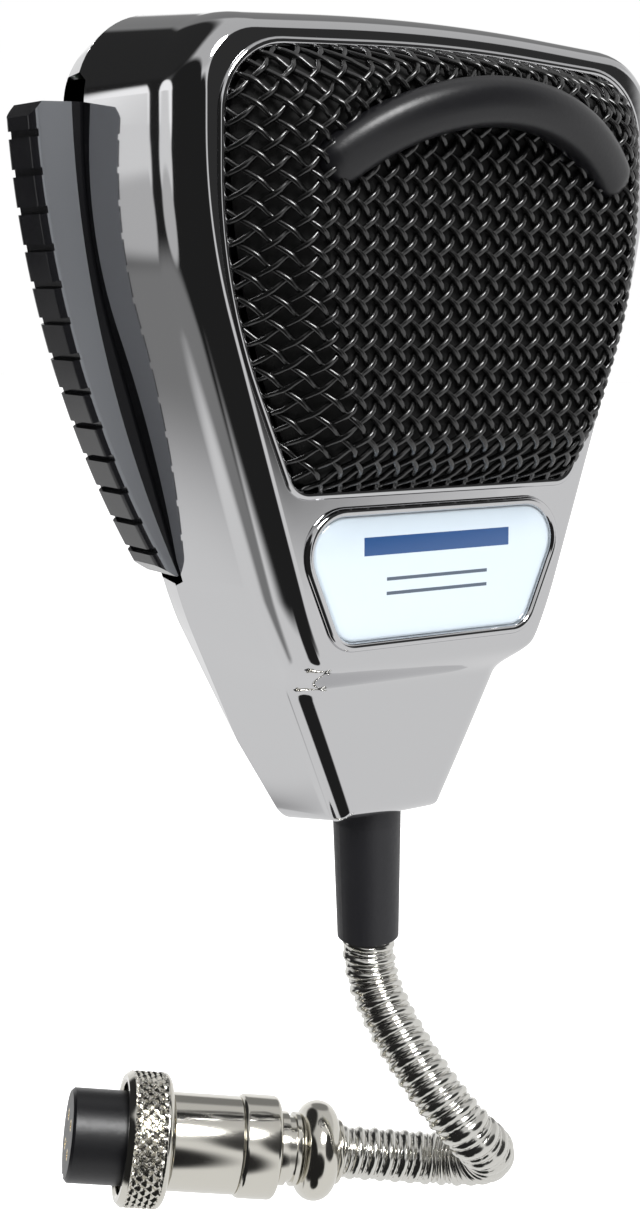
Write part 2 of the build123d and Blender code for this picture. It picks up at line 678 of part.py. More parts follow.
def plug_barrel():
    barrel = stage(BARREL_START, *BARREL)
    barrel = chamfer(barrel.edges().filter_by(GeomType.CIRCLE), 0.3)
    spigot = stage(RING_START, SPIGOT_R, SPIGOT_LENGTH)
    barrel = barrel + spigot - stage(BARREL_START - 1, CABLE_R, 20)
    return barrel - stage(BARREL_START + 1.6, 4.6, 20) - set_screw()


def coupling_ring():
    ring = stage(RING_START + 0.3, RING[0], RING[1] - 0.3)
    ring = chamfer(ring.edges().filter_by(GeomType.CIRCLE), 0.7)
    ring -= stage(RING_START + 0.3 + RING_WALL, RING_THREAD_R, RING[1])
    return ring - stage(RING_START - 1, SPIGOT_R + RUNNING, RING[1])


def contact_places(distance):
    """A frame across the plug at each of its four contacts."""
    frame = plug_frame(distance)
    return [frame * Pos(2.9 * cos(pi / 4 + k * pi / 2), 2.9 * sin(pi / 4 + k * pi / 2), 0) for k in range(4)]


def plug_insert():
    base = RING_START + SPIGOT_LENGTH
    insert = stage(base, INSERT[0], INSERT_END - base)
    insert = chamfer(insert.edges().filter_by(GeomType.CIRCLE), 0.4)
    insert -= plug_frame(INSERT_END) * Pos(INSERT[0], 0, 0) * Box(1.6, 1.8, 9.0)
    for place in contact_places((INSERT_END + base) / 2):
        insert -= place * Cylinder(CONTACT_R, INSERT_END - base + 1)
    return insert


def plug_contacts():
    """Hollow sockets with solder tails that reach back into the barrel."""
    base = RING_START + SPIGOT_LENGTH
    length = INSERT_END - base + 2.5
    socket = Cylinder(CONTACT_R, length) - Pos(0, 0, length / 2) * Cylinder(0.45, 11.0)
    return [place * socket for place in contact_places(base - 2.5 + length / 2)]


def plug_core():
    """The cord's cable where it passes through the plug's collar, bead and nut."""
    return stage(0.0, CABLE_R, BARREL_START + 2.0)


def plug_wires():
    """One wire to each contact, from where the cable ends inside the barrel."""
    wires = []
    begin = plug_frame(BARREL_START + 2.0).origin
    solder = RING_START + SPIGOT_LENGTH - 2.5
    for place in contact_places(solder):
        outward = place.position - plug_frame(solder).origin
        first = begin + outward * 0.45
        last = place.position
        wires.append(tube([first, first + PLUG_WAY * 2.0, last - PLUG_WAY * 2.0, last], 0.5, 1.0))
    return wires


def set_screw():
    screw = Rot(0, 90, 0) * Cylinder(1.2, 1.6) - Pos(0.8, 0, 0) * Box(0.9, 3.0, 0.4)
    return plug_frame(BARREL_START + 5.0) * Rot(0, 0, SET_SCREW_TURN) * Pos(BARREL[0] - 0.9, 0, 0) * screw


# ---- write the parts --------------------------------------------------------------------------
PARTS = {
    "front_shell": front_shell,
    "rear_shell": rear_shell,
    "case_screws": case_screws,
    "grille_mesh": grille_mesh,
    "grille_liner": grille_liner,
    "lip_bar": lip_bar,
    "lip_bar_clips": lip_bar_clips,
    "nameplate_bezel": nameplate_bezel,
    "nameplate_label": nameplate_label,
    "element_carrier": element_carrier,
    "carrier_screws": carrier_screws,
    "element_boot": element_boot,
    "microphone_element": microphone_element,
    "ptt_lever": ptt_lever,
    "pivot_pin": pivot_pin,
    "switch_housing": switch_housing,
    "switch_cover": switch_cover,
    "switch_plunger": switch_plunger,
    "switch_contacts": switch_contacts,
    "return_spring": return_spring,
    "terminal_board": terminal_board,
    "board_screws": board_screws,
    "board_terminals": board_terminals,
    "inner_cable": inner_cable,
    "cable_clamp": cable_clamp,
    "cord_wires": cord_wires,
    "element_wires": element_wires,
    "switch_wires": switch_wires,
    "hang_up_button": hang_up_button,
    "button_washer": button_washer,
    "button_screw": button_screw,
    "cord_sleeve": cord_sleeve,
    "armoured_cord": armoured_cord,
    "plug_collar": plug_collar,
    "plug_bead": plug_bead,
    "plug_back_nut": plug_back_nut,
    "plug_barrel": plug_barrel,
    "coupling_ring": coupling_ring,
    "plug_insert": plug_insert,
    "plug_contacts": plug_contacts,
    "plug_core": plug_core,
    "plug_wires": plug_wires,
    "set_screw": set_screw,
}

for name, make in PARTS.items():
    save(name, make())
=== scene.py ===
import json
import math

import bmesh
import bpy
import numpy as np
from mathutils import Matrix, Vector, geometry


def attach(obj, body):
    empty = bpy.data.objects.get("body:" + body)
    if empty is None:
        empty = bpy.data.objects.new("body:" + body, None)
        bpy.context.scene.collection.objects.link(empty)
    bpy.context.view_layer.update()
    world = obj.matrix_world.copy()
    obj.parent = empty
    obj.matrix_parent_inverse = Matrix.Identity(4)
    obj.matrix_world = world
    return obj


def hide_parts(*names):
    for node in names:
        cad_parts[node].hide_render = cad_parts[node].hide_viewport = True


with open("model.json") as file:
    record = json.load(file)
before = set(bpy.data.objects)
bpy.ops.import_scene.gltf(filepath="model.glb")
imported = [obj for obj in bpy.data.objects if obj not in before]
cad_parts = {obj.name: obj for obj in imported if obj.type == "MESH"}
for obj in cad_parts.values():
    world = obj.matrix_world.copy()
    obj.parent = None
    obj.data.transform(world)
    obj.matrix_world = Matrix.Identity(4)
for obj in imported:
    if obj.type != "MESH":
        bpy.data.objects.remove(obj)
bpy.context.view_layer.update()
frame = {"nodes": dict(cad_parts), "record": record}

MM = 0.001
NODES = frame["nodes"]

# ---- camera -----------------------------------------------------------------------------------
CAMERA_PLACE = Vector((-0.14746, -0.22294, 0.00819))
CAMERA_RIGHT = Vector((0.822, -0.570, 0.012))
CAMERA_UP = Vector((0.083, 0.141, 0.987))
CAMERA_LENS = 56.34

camera_data = bpy.data.cameras.new("camera")
camera_data.sensor_width = 36.0
camera_data.lens = CAMERA_LENS
camera_data.clip_start = 0.01
camera = bpy.data.objects.new("camera", camera_data)
bpy.context.collection.objects.link(camera)
right = CAMERA_RIGHT.normalized()
up = (CAMERA_UP - right * CAMERA_UP.dot(right)).normalized()
back = right.cross(up)
camera.matrix_world = Matrix.Translation(CAMERA_PLACE) @ Matrix((right, up, back)).transposed().to_4x4()
bpy.context.scene.camera = camera

# ---- dimensions, in millimetres -----------------------------------------------------------------
# As in the CAD part, shapes are drawn with the microphone on its back: x across, y towards its top
# and z out of the grille. stand() turns them upright.
PART_Z = 12.5
FRONT_Z = 36.5
DRAFT = math.tan(math.radians(5.0))
BODY = [(9.3, -62.0), (22.6, -33.0), (37.7, 14.7), (37.7, 40.9), (0.0, 43.2)]
BODY_RADII = [3.0, 60.0, 85.0, 11.0, 400.0]
OPENING = [(21.6, -15.8), (31.9, 9.0), (31.9, 36.0), (0.0, 37.6)]
OPENING_RADII = [3.2, 92.0, 8.5, 240.0]
PLATEAU = [(17.6, -8.2), (22.9, 9.0), (22.9, 32.4), (0.0, 34.8)]
PLATEAU_RADII = [4.0, 45.0, 17.0, 60.0]
LABEL = [(14.6, -34.2), (21.2, -18.6)]
LABEL_RADII = [3.0, 4.6]
DOME_HEIGHT = 8.5
SLOT_Y = (-29.2, 34.0)
SLOT_TOP = 14.7
THREAD_R = 7.5


# ---- mesh helpers -----------------------------------------------------------------------------
def stand(point):
    """A drawn point in millimetres, upright and in metres."""
    x, y, z = (float(c) * MM for c in point)
    return x, -z, y


def shade_smooth(mesh, sharp):
    """Smooth shading that breaks at edges sharper than an angle in degrees."""
    mesh.polygons.foreach_set("use_smooth", [True] * len(mesh.polygons))
    mesh.set_sharp_from_angle(angle=math.radians(sharp))


def make_object(name, verts, faces, material, body, sharp):
    """A mesh object from points in millimetres, riding on a CAD body."""
    mesh = bpy.data.meshes.new(name)
    mesh.from_pydata([stand(v) for v in verts], [], [tuple(map(int, f)) for f in faces])
    mesh.validate()
    mesh.update()
    obj = bpy.data.objects.new(name, mesh)
    bpy.context.collection.objects.link(obj)
    shade_smooth(mesh, sharp)
    mesh.materials.append(material)
    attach(obj, body)
    return obj


def merge(parts):
    """Joins (verts, faces) pairs into one pair."""
    verts, faces, start = [], [], 0
    for v, f in parts:
        verts.extend(v)
        faces.extend([tuple(i + start for i in face) for face in f])
        start += len(v)
    return verts, faces


def loft(rings, cap_start=False, cap_end=False):
    """Quads between rings of equal length. Each ring closes on itself."""
    n = len(rings[0])
    verts = [tuple(p) for ring in rings for p in ring]
    faces = []
    for k in range(len(rings) - 1):
        for i in range(n):
            j = (i + 1) % n
            faces.append((k * n + i, k * n + j, (k + 1) * n + j, (k + 1) * n + i))
    if cap_start:
        faces.append(tuple(reversed(range(n))))
    if cap_end:
        faces.append(tuple(range((len(rings) - 1) * n, len(rings) * n)))
    return verts, faces


def full_loop(half, radii):
    """Mirrors a half outline, given up its right side, into a closed one, anticlockwise."""
    left = [((-x, y), r) for (x, y), r in reversed(list(zip(half, radii))) if x > 0]
    return list(half) + [p for p, _ in left], list(radii) + [r for _, r in left]


def outline(half, radii, inset=0.0, arc=14, line=12, least=0.5):
    """Points round a symmetric outline, drawn in by an inset.

    Every inset gives the same number of points.
    """
    corners, rounds = full_loop(half, radii)
    n = len(corners)
    pts = [Vector(c) for c in corners]
    moved = []
    for i in range(n):
        a, b, c = pts[i - 1], pts[i], pts[(i + 1) % n]
        u, v = (b - a).normalized(), (c - b).normalized()
        nu, nv = Vector((-u.y, u.x)), Vector((-v.y, v.x))
        bisector = (nu + nv).normalized()
        moved.append(b + bisector * (inset / max(bisector.dot(nu), 0.2)))
    trims = []
    for i in range(n):
        a, b, c = moved[i - 1], moved[i], moved[(i + 1) % n]
        u, v = (b - a).normalized(), (c - b).normalized()
        half_turn = u.angle(v) / 2
        radius = max(rounds[i] - inset, least)
        trim = min(radius * math.tan(half_turn), 0.49 * min((b - a).length, (c - b).length))
        trims.append((u, v, half_turn, trim))
    arcs = []
    for i in range(n):
        u, v, half_turn, trim = trims[i]
        b = moved[i]
        radius = trim / math.tan(half_turn)
        start = b - u * trim
        centre = start + Vector((-u.y, u.x)) * radius
        first = math.atan2(start.y - centre.y, start.x - centre.x)
        arcs.append([
            (centre.x + radius * math.cos(first + 2 * half_turn * k / arc),
             centre.y + radius * math.sin(first + 2 * half_turn * k / arc))
            for k in range(arc + 1)
        ])
    out = []
    for i in range(n):
        out.extend(arcs[i])
        p, q = Vector(arcs[i][-1]), Vector(arcs[(i + 1) % n][0])
        out.extend([tuple(p.lerp(q, k / line)) for k in range(1, line)])
    return np.array(out)


def inside(points, loop):
    """Whether each point is inside a closed loop."""
    x, y = points[:, 0], points[:, 1]
    result = np.zeros(len(points), bool)
    for (x0, y0), (x1, y1) in zip(loop, np.roll(loop, -1, axis=0)):
        crosses = (y0 > y) != (y1 > y)
        with np.errstate(divide="ignore", invalid="ignore"):
            at = (x1 - x0) * (y - y0) / (y1 - y0) + x0
        result ^= crosses & (x < at)
    return result


def distance(points, loop):
    """Distance from each point to a closed loop."""
    best = np.full(len(points), 1e9)
    for a, b in zip(loop, np.roll(loop, -1, axis=0)):
        ab = b - a
        length2 = max(float(ab @ ab), 1e-12)
        t = np.clip(((points - a) @ ab) / length2, 0, 1)
        best = np.minimum(best, np.hypot(*(points - a - t[:, None] * ab).T))
    return best


def smooth_step(t):
    t = np.clip(t, 0.0, 1.0)
    return t * t * (3 - 2 * t)


def fill(loops, extra, keep):
    """Triangles between closed loops, through extra points. keep says which triangle centres stay."""
    verts = [Vector(p) for loop in loops for p in loop]
    edges, start = [], 0
    for loop in loops:
        edges += [(start + i, start + (i + 1) % len(loop)) for i in range(len(loop))]
        start += len(loop)
    verts += [Vector(p) for p in extra]
    out_verts, _, out_faces, *_ = geometry.delaunay_2d_cdt(verts, edges, [], 0, 1e-6)
    flat = np.array([tuple(v) for v in out_verts])
    faces = [f for f in out_faces if len(f) == 3]
    centres = np.array([flat[list(f)].mean(axis=0) for f in faces])
    mask = keep(centres)
    return flat, [f for f, m in zip(faces, mask) if m]


# ---- materials --------------------------------------------------------------------------------
MIX_UNDER, MIX_OVER, MIX_RESULT = 6, 7, 2       # a colour mix node's sockets
CAD_SHARP = 28          # degrees


def math_node(tree, operation, *values):
    """A maths node's output. Each value is a number or the output that feeds it."""
    node = tree.nodes.new("ShaderNodeMath")
    node.operation = operation
    for socket, value in zip(node.inputs, values):
        if isinstance(value, float):
            socket.default_value = value
        else:
            tree.links.new(value, socket)
    return node.outputs[0]


def mix_node(tree, share, under, over):
    """A colour mix node's output. Each colour is a tuple or the output that feeds it."""
    node = tree.nodes.new("ShaderNodeMix")
    node.data_type = "RGBA"
    tree.links.new(share, node.inputs["Factor"])
    for socket, value in ((MIX_UNDER, under), (MIX_OVER, over)):
        if isinstance(value, tuple):
            node.inputs[socket].default_value = value
        else:
            tree.links.new(value, node.inputs[socket])
    return node.outputs[MIX_RESULT]


def object_axes(tree):
    """The outputs that give a point's X, Y and Z in its object's own space."""
    coordinates = tree.nodes.new("ShaderNodeTexCoord")
    split = tree.nodes.new("ShaderNodeSeparateXYZ")
    tree.links.new(coordinates.outputs["Object"], split.inputs["Vector"])
    return split.outputs


def shader(name, color, metallic=0.0, roughness=0.5, bump=0.0, scale=400.0, wear=0.0, **sockets):
    """A principled material whose roughness varies a little and whose surface may be finely uneven."""
    material = bpy.data.materials.new(name)
    material.use_nodes = True
    nodes, links = material.node_tree.nodes, material.node_tree.links
    principled = nodes["Principled BSDF"]
    principled.inputs["Base Color"].default_value = (*color, 1.0)
    principled.inputs["Metallic"].default_value = metallic
    principled.inputs["Roughness"].default_value = roughness
    for socket, value in sockets.items():
        principled.inputs[socket.replace("_", " ")].default_value = value
    coordinates = nodes.new("ShaderNodeTexCoord")
    noise = nodes.new("ShaderNodeTexNoise")
    noise.inputs["Scale"].default_value = scale
    noise.inputs["Detail"].default_value = 4.0
    links.new(coordinates.outputs["Object"], noise.inputs["Vector"])
    if wear:
        spread = nodes.new("ShaderNodeMapRange")
        spread.inputs["To Min"].default_value = max(roughness - wear, 0.0)
        spread.inputs["To Max"].default_value = roughness + wear
        links.new(noise.outputs["Fac"], spread.inputs["Value"])
        links.new(spread.outputs["Result"], principled.inputs["Roughness"])
    if bump:
        relief = nodes.new("ShaderNodeBump")
        relief.inputs["Strength"].default_value = bump
        relief.inputs["Distance"].default_value = 0.0002
        links.new(noise.outputs["Fac"], relief.inputs["Height"])
        links.new(relief.outputs["Normal"], principled.inputs["Normal"])
    return material


CHROME = shader("chrome", (0.62, 0.62, 0.63), 1.0, 0.05, scale=60.0, wear=0.02)
NICKEL = shader("nickel", (0.70, 0.68, 0.62), 1.0, 0.12, scale=300.0, wear=0.05)
ARMOUR = shader("armour", (0.72, 0.71, 0.67), 1.0, 0.16, scale=500.0, wear=0.06)
BLACK_WIRE = shader(
    "black_wire", (0.002, 0.002, 0.002), 0.0, 0.24, scale=900.0, wear=0.04, Specular_IOR_Level=0.9,
)
FOAM = shader("foam", (0.004, 0.004, 0.004), 0.0, 0.95, bump=0.6, scale=1500.0)
MATTE_BLACK = shader("matte_black", (0.004, 0.004, 0.005), 0.0, 0.36, bump=0.08, scale=1800.0, wear=0.06)
# painted sheen: a lighter, partly metallic copy of the lever's black gloss plastic, grey to stand for the
# light it reflects
LEVER_PAINTED_SHEEN = shader("lever_painted_sheen", (0.13, 0.135, 0.145), 0.35, 0.18, scale=300.0, wear=0.04)
GLOSS_BLACK = shader("gloss_black", (0.006, 0.006, 0.007), 0.0, 0.16, scale=300.0, wear=0.04)
STEEL = shader("steel", (0.62, 0.62, 0.63), 1.0, 0.3, scale=600.0, wear=0.06)
RUBBER = shader("rubber", (0.007, 0.007, 0.009), 0.0, 0.45, bump=0.15, scale=1200.0, wear=0.08)
ELEMENT = shader("element", (0.66, 0.67, 0.69), 1.0, 0.35, scale=500.0, wear=0.06)
ACETAL = shader("plunger", (0.75, 0.74, 0.70), 0.0, 0.4, scale=500.0, wear=0.05)
BRASS = shader("brass", (0.80, 0.62, 0.28), 1.0, 0.25, scale=500.0, wear=0.05)
BOARD = shader("board", (0.05, 0.20, 0.09), 0.0, 0.5, scale=700.0, wear=0.08)
CABLE = shader("cable", (0.05, 0.05, 0.052), 0.0, 0.5, scale=700.0, wear=0.08)
WIRE = shader("wire", (0.45, 0.10, 0.08), 0.0, 0.45, scale=700.0, wear=0.08)
LABEL_BLANK = shader("label_edge", (0.70, 0.74, 0.82), 0.0, 0.3, scale=300.0, wear=0.05)

SLOT_MATERIALS = {
    "chrome": CHROME, "nickel": NICKEL, "armour": ARMOUR, "black_wire": BLACK_WIRE, "foam": FOAM,
    "matte_black": MATTE_BLACK, "gloss_black": GLOSS_BLACK, "steel": STEEL, "label_face": LABEL_BLANK,
    "rubber": RUBBER, "element": ELEMENT, "plunger": ACETAL, "brass": BRASS, "board": BOARD,
    "cable": CABLE, "wire": WIRE,
}
for part in frame["record"]["subparts"]:
    node = NODES[part["node"]]
    node.data.materials.clear()
    node.data.materials.append(SLOT_MATERIALS[part["material_slot"]])
    shade_smooth(node.data, CAD_SHARP)

# Painted shadow: the lever's front edge turns black, as the shade in the gap beside the housing, where X is
# over the threshold below - (SLOPE * Z + OFFSET) * Z.
EDGE_SLOPE, EDGE_OFFSET = -3.782, 0.2622
PAINTED_SHADOW_FROM_X = -0.0346
# the painted shadow's colour
EDGE_PAINTED_SHADOW = (0.006, 0.006, 0.007, 1.0)
FRONTWARD = -0.9        # a normal's Y on faces that look out of the grille's side


def paint_inner_edge_shadow(material):
    """Paints shadow: blackens the lever's front edge on the housing's side of a curve that runs down its
    length, standing for the shade in the gap there.
    """
    tree = material.node_tree
    base_color = tree.nodes["Principled BSDF"].inputs["Base Color"]
    axes = object_axes(tree)
    curve = math_node(tree, "MULTIPLY_ADD", axes["Z"], EDGE_SLOPE, EDGE_OFFSET)
    edge = math_node(tree, "MULTIPLY_ADD", curve, axes["Z"], axes["X"])
    in_painted_shadow = math_node(tree, "GREATER_THAN", edge, PAINTED_SHADOW_FROM_X)
    tree.links.new(mix_node(tree, in_painted_shadow, tuple(base_color.default_value), EDGE_PAINTED_SHADOW), base_color)


# The lever's front edge gets a painted sheen: grey and partly metallic, standing for the light its black
# gloss plastic reflects. Its grooved outer side is black.
# painted shadow: the part of the front edge beside the housing turns black, as the shade of the gap there
paint_inner_edge_shadow(LEVER_PAINTED_SHEEN)
lever = NODES["ptt_lever"]
lever.data.materials.append(LEVER_PAINTED_SHEEN)
# faces that look out of the grille's side take the painted sheen
painted_sheen_faces = [int(p.normal.y < FRONTWARD) for p in lever.data.polygons]
lever.data.polygons.foreach_set("material_index", painted_sheen_faces)

# ---- cord -------------------------------------------------------------------------------------
# Metres, upright, from the sleeve to the plug. Both legs lie as they are seen, but the fold between
# them is assumed: a real cord of this kind runs on from there, and is far longer.
CORD_ROUTE = [
    (0.001287, -0.021818, -0.078525),
    (0.001667, -0.021527, -0.083703),
    (0.0023, -0.0254, -0.0896),
    (0.0032, -0.0302, -0.0944),
    (0.0047, -0.0341, -0.0986),
    (0.0074, -0.0379, -0.1034),
    (0.0120, -0.0365, -0.1073),
    (0.0144, -0.0318, -0.1109),
    (0.0118, -0.0260, -0.1126),
    (0.004516, -0.022758, -0.111267),
    (-0.0018, -0.0199, -0.1103),
]
CORD_R = 3.25           # the core's radius, in millimetres like everything below
RIB_PITCH = 2.2
RIB_FOOT = 0.15         # how deep the ribs' roots lie in the core
RIB_RISE = 0.55
RIB_ROUND = 0.7         # under 1 fills out a rib's section
BROAD_SHARE = 0.66      # the broad turn's share of the pitch
LIP_RISE = 0.62         # the lip's height as a share of the broad turn's
RIB_STEP = 0.13
RIB_AROUND = 36


def cord_curve():
    """The cord's core, and its centreline's points in drawn millimetres."""
    data = bpy.data.curves.new("armoured_cord_core", "CURVE")
    data.dimensions = "3D"
    data.resolution_u = 24
    spline = data.splines.new("NURBS")
    spline.points.add(len(CORD_ROUTE) - 1)
    for point, place in zip(spline.points, CORD_ROUTE):
        point.co = (*place, 1.0)
    spline.order_u = 3
    spline.use_endpoint_u = True
    obj = bpy.data.objects.new("armoured_cord_core", data)
    bpy.context.collection.objects.link(obj)
    depsgraph = bpy.context.evaluated_depsgraph_get()
    line = bpy.data.meshes.new_from_object(obj.evaluated_get(depsgraph))
    path = np.array([(v.co.x, v.co.z, -v.co.y) for v in line.vertices]) / MM
    data.bevel_depth = CORD_R * MM
    data.bevel_resolution = 8
    data.use_fill_caps = True
    data.materials.append(ARMOUR)
    return obj, path


def resample(path, step):
    """Evenly spaced points along a path."""
    lengths = np.concatenate([[0], np.cumsum(np.linalg.norm(np.diff(path, axis=0), axis=1))])
    stations = np.linspace(0, lengths[-1], int(lengths[-1] / step) + 1)
    return np.stack([np.interp(stations, lengths, path[:, k]) for k in range(3)], axis=1)


def cross_directions(points):
    """Two cross directions at each point of a path, without twist."""
    ways = np.gradient(points, axis=0)
    ways /= np.linalg.norm(ways, axis=1)[:, None]
    side = np.cross(ways[0], (0, 0, 1.0))
    side /= np.linalg.norm(side)
    sides = []
    for way in ways:
        side = side - way * (side @ way)
        side /= np.linalg.norm(side)
        sides.append(side)
    sides = np.array(sides)
    return sides, np.cross(ways, sides)


def sweep(points, radius_at, around, caps=True):
    """A tube of varying radius. radius_at takes the distance along and the angle round."""
    sides, ups = cross_directions(points)
    lengths = np.concatenate([[0], np.cumsum(np.linalg.norm(np.diff(points, axis=0), axis=1))])
    angles = np.linspace(0, 2 * np.pi, around, endpoint=False)
    rings = []
    for point, s, u, length in zip(points, sides, ups, lengths):
        r = radius_at(length, angles)[:, None]
        rings.append(point + r * (np.cos(angles)[:, None] * s + np.sin(angles)[:, None] * u))
    return loft(rings, cap_start=caps, cap_end=caps)


def rib_radius(length, angles):
    """A helical armour's turns: a broad rounded one, with a narrow lip beside it."""
    phase = (length / RIB_PITCH + angles / (2 * np.pi)) % 1.0
    broad = np.sin(np.pi * np.clip(phase / BROAD_SHARE, 0, 1)) ** RIB_ROUND
    lip_phase = np.clip((phase - BROAD_SHARE) / (1 - BROAD_SHARE), 0, 1)
    lip = LIP_RISE * np.sin(np.pi * lip_phase) ** RIB_ROUND
    return CORD_R - RIB_FOOT + RIB_RISE * np.where(phase < BROAD_SHARE, broad, lip)


core, core_path = cord_curve()
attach(core, "housing")
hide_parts("armoured_cord")
rib_mesh = sweep(resample(core_path, RIB_STEP), rib_radius, RIB_AROUND)
ribs = make_object("armoured_cord_ribs", *rib_mesh, ARMOUR, "housing", sharp=60)

# ---- plug -------------------------------------------------------------------------------------
PLUG_START = np.array((-1.8, -110.3, 19.9))
PLUG_HEADING, PLUG_TILT = math.radians(171.3), math.radians(-24.1)
PLUG_WAY = np.array((
    math.cos(PLUG_TILT) * math.cos(PLUG_HEADING),
    math.cos(PLUG_TILT) * math.sin(PLUG_HEADING),
    math.sin(PLUG_TILT),
))
PLUG_SIDE = np.array((-math.sin(PLUG_HEADING), math.cos(PLUG_HEADING), 0.0))
PLUG_UP = np.cross(PLUG_WAY, PLUG_SIDE)


def lathe(profile, around=96, radius_change=None):
    """A closed ring of revolution round the plug's axis, from (distance along, radius) points."""
    angles = np.linspace(0, 2 * np.pi, around, endpoint=False)
    rings = []
    for along, radius in profile:
        r = np.full(around, float(radius))
        if radius_change is not None:
            r = r + radius_change(along, radius, angles)
        outward = np.cos(angles)[:, None] * PLUG_SIDE + np.sin(angles)[:, None] * PLUG_UP
        rings.append(PLUG_START + PLUG_WAY * along + r[:, None] * outward)
    rings.append(rings[0])
    return loft(rings)


def weld(obj, reach=1e-7):
    """Joins points within a reach in metres, and turns the faces outwards."""
    bm = bmesh.new()
    bm.from_mesh(obj.data)
    bmesh.ops.remove_doubles(bm, verts=bm.verts, dist=reach)
    bmesh.ops.recalc_face_normals(bm, faces=bm.faces)
    bm.to_mesh(obj.data)
    bm.free()


def plug_piece(name, profile, node=None, body="housing", **extra):
    verts, faces = lathe(profile, **extra)
    obj = make_object(name, verts, faces, NICKEL, body, sharp=32)
    weld(obj)
    if node:
        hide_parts(node)
    return obj


def rounded_profile(start, end, outer, inner, radius, steps=6, groove=()):
    """A tube's section with rounded outer corners, and optional square grooves (at, width, depth)."""
    points = [(start, inner)]
    for k in range(steps + 1):
        a = math.pi / 2 * k / steps
        points.append((start + radius - radius * math.cos(a), outer - radius + radius * math.sin(a)))
    for at, width, depth in groove:
        points += [(at - width / 2, outer), (at - width / 2 + 0.05, outer - depth)]
        points += [(at + width / 2 - 0.05, outer - depth), (at + width / 2, outer)]
    for k in range(steps + 1):
        a = math.pi / 2 * (1 - k / steps)
        points.append((end - radius + radius * math.cos(a), outer - radius + radius * math.sin(a)))
    points.append((end, inner))
    return points


COLLAR_END = 0.8
BEAD_END = COLLAR_END + 5.2
NECK_END = BEAD_END + 3.2
NUT_END = NECK_END + 5.4
BARREL_END = NUT_END + 9.6
RING_END = BARREL_END + 6.5
BORE_R = 2.4            # the cable's way through the plug
SPIGOT_R = 5.65
RING_R = 9.1
RING_AROUND = 340
KNURLS = 34
KNURL_LEAD = 1.62
KNURL_DEPTH = 0.55


def knurl(along, radius, angles):
    """Crossed helical cuts on the ring's outside, between its rounded edges."""
    first, last = BARREL_END + 1.3, RING_END - 0.8
    if radius < RING_R - 0.02 or along < first or along > last:
        return np.zeros_like(angles)
    edge = min(1.0, (along - first) / 0.4, (last - along) / 0.4)
    turns = angles / (2 * np.pi) * KNURLS
    slope = along / KNURL_LEAD
    a = np.abs(((turns + slope) % 1.0) - 0.5) * 2
    b = np.abs(((turns - slope) % 1.0) - 0.5) * 2
    cut = np.maximum(np.clip(a * 1.5 - 0.5, 0, 1), np.clip(b * 1.5 - 0.5, 0, 1))
    return -KNURL_DEPTH * edge * cut


def ring_profile():
    """The ring's section: a shoulder on the spigot, a knurled outside and a threaded wall."""
    points = [(BARREL_END + 0.3, SPIGOT_R), (BARREL_END + 0.3, RING_R - 1.2)]
    points += [(BARREL_END + 0.45, RING_R - 0.6), (BARREL_END + 0.8, RING_R - 0.15)]
    points += [(a, RING_R) for a in np.arange(BARREL_END + 1.1, RING_END - 0.65, 0.14)]
    points += [(RING_END - 0.5, RING_R - 0.15), (RING_END, RING_R - 0.6), (RING_END, THREAD_R + 0.35)]
    thread = np.arange(RING_END - 0.3, BARREL_END + 2.6, -0.25)
    points += [(a, THREAD_R + (0.28 if k % 4 in (1, 2) else 0.0)) for k, a in enumerate(thread)]
    points += [(BARREL_END + 2.2, THREAD_R), (BARREL_END + 2.2, SPIGOT_R)]
    return points


neck_groove = ((BEAD_END + 1.3, 1.0, 0.5),)
neck_profile = rounded_profile(BEAD_END, NECK_END, 5.0, BORE_R, 0.3, groove=neck_groove)
plug_pieces = [
    plug_piece("collar", rounded_profile(0, COLLAR_END, 4.4, BORE_R, 0.3), "plug_collar"),
    plug_piece("bead", rounded_profile(COLLAR_END, BEAD_END, 6.8, BORE_R, 2.55, 12), "plug_bead"),
    plug_piece("neck", neck_profile, "plug_back_nut"),
    plug_piece("back_nut", rounded_profile(NECK_END, NUT_END, 7.0, 4.9, 0.7)),
    plug_piece("barrel", rounded_profile(NUT_END, BARREL_END, 6.6, BORE_R, 0.2), "plug_barrel"),
    plug_piece(
        "ring", ring_profile(), "coupling_ring", "ring", around=RING_AROUND, radius_change=knurl,
    ),
]

# ---- housing skin -----------------------------------------------------------------------------
RIDGE_Y = -36.6         # the front face ends here
COVE_Y = -41.8          # and the throat's plane begins here
THROAT_Z = 32.2
THROAT_FALL = 0.13
THROAT_CROWN = 0.0045   # how fast the throat falls away to both sides
EDGE_WIDTH = 2.9        # the front edge is rounded further down the side than across the front
EDGE_DEPTH = 8.0
THROAT_EDGE_R = 3.8
BACK_Z = 4.5
REAR_SLOPE_Y = -30.0    # the back rises from here to the tail
REAR_SLOPE = 0.375
TURN_IN = 1.6           # the skin's lower rim turns in by this much
RIM_R = 0.55            # the moulded rim round the opening
RIM_RISE = 0.42


def throat_weight(y):
    return smooth_step((RIDGE_Y - y) / (RIDGE_Y - COVE_Y))


def front_height(x, y):
    """Height of the front, with its ridge, its cove and the throat below."""
    w = throat_weight(y)
    throat = THROAT_Z + THROAT_FALL * (y - COVE_Y) - THROAT_CROWN * x * x
    return FRONT_Z * (1 - w) + throat * w


def back_height(y):
    return BACK_Z + np.maximum(0.0, REAR_SLOPE_Y - y) * REAR_SLOPE


def edge_sections(width, depth, steps):
    """(inset, depth below the front) of the rings that round the front edge, a quarter of an ellipse."""
    middle = (FRONT_Z - PART_Z - depth) * DRAFT + width
    turns = [math.pi / 2 * k / steps for k in range(steps + 1)]
    return [(middle - width * math.cos(turn), depth - depth * math.sin(turn)) for turn in turns]


TAIL_PLATE_Y = -51.0    # the rear shell ends here
SIDE_STEPS = 14
EDGE_STEPS = 16
BODY_STEPS = 40
body_outline = outline(BODY, BODY_RADII, line=BODY_STEPS)


